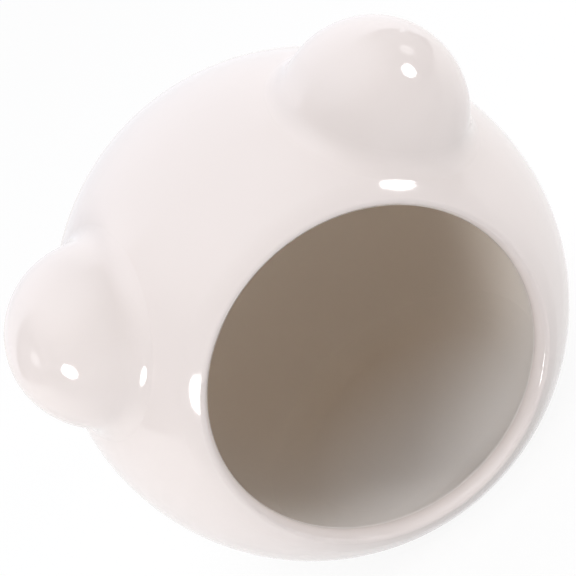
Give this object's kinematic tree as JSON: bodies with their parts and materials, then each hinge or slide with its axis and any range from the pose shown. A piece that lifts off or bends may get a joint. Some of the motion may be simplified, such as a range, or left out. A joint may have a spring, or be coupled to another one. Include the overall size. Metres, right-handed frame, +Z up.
{
  "type": "ceramic hamster house",
  "caption": "Hollow slip-cast ceramic ball that a hamster shelters in, with round ears, a large round mouth with a rounded lip, and a flat foot to rest on.",
  "frame": {"origin": "centre of the flat foot, straight below the centre of the ball", "axes": "+Z up, -Y out of the mouth, +X to the right for someone who faces the mouth"},
  "size_m": [0.1, 0.089, 0.089],
  "materials": {
    "glaze": "gloss"
  },
  "bodies": {
    "root": {"house_shell": "glaze"}
  },
  "joints": []
}
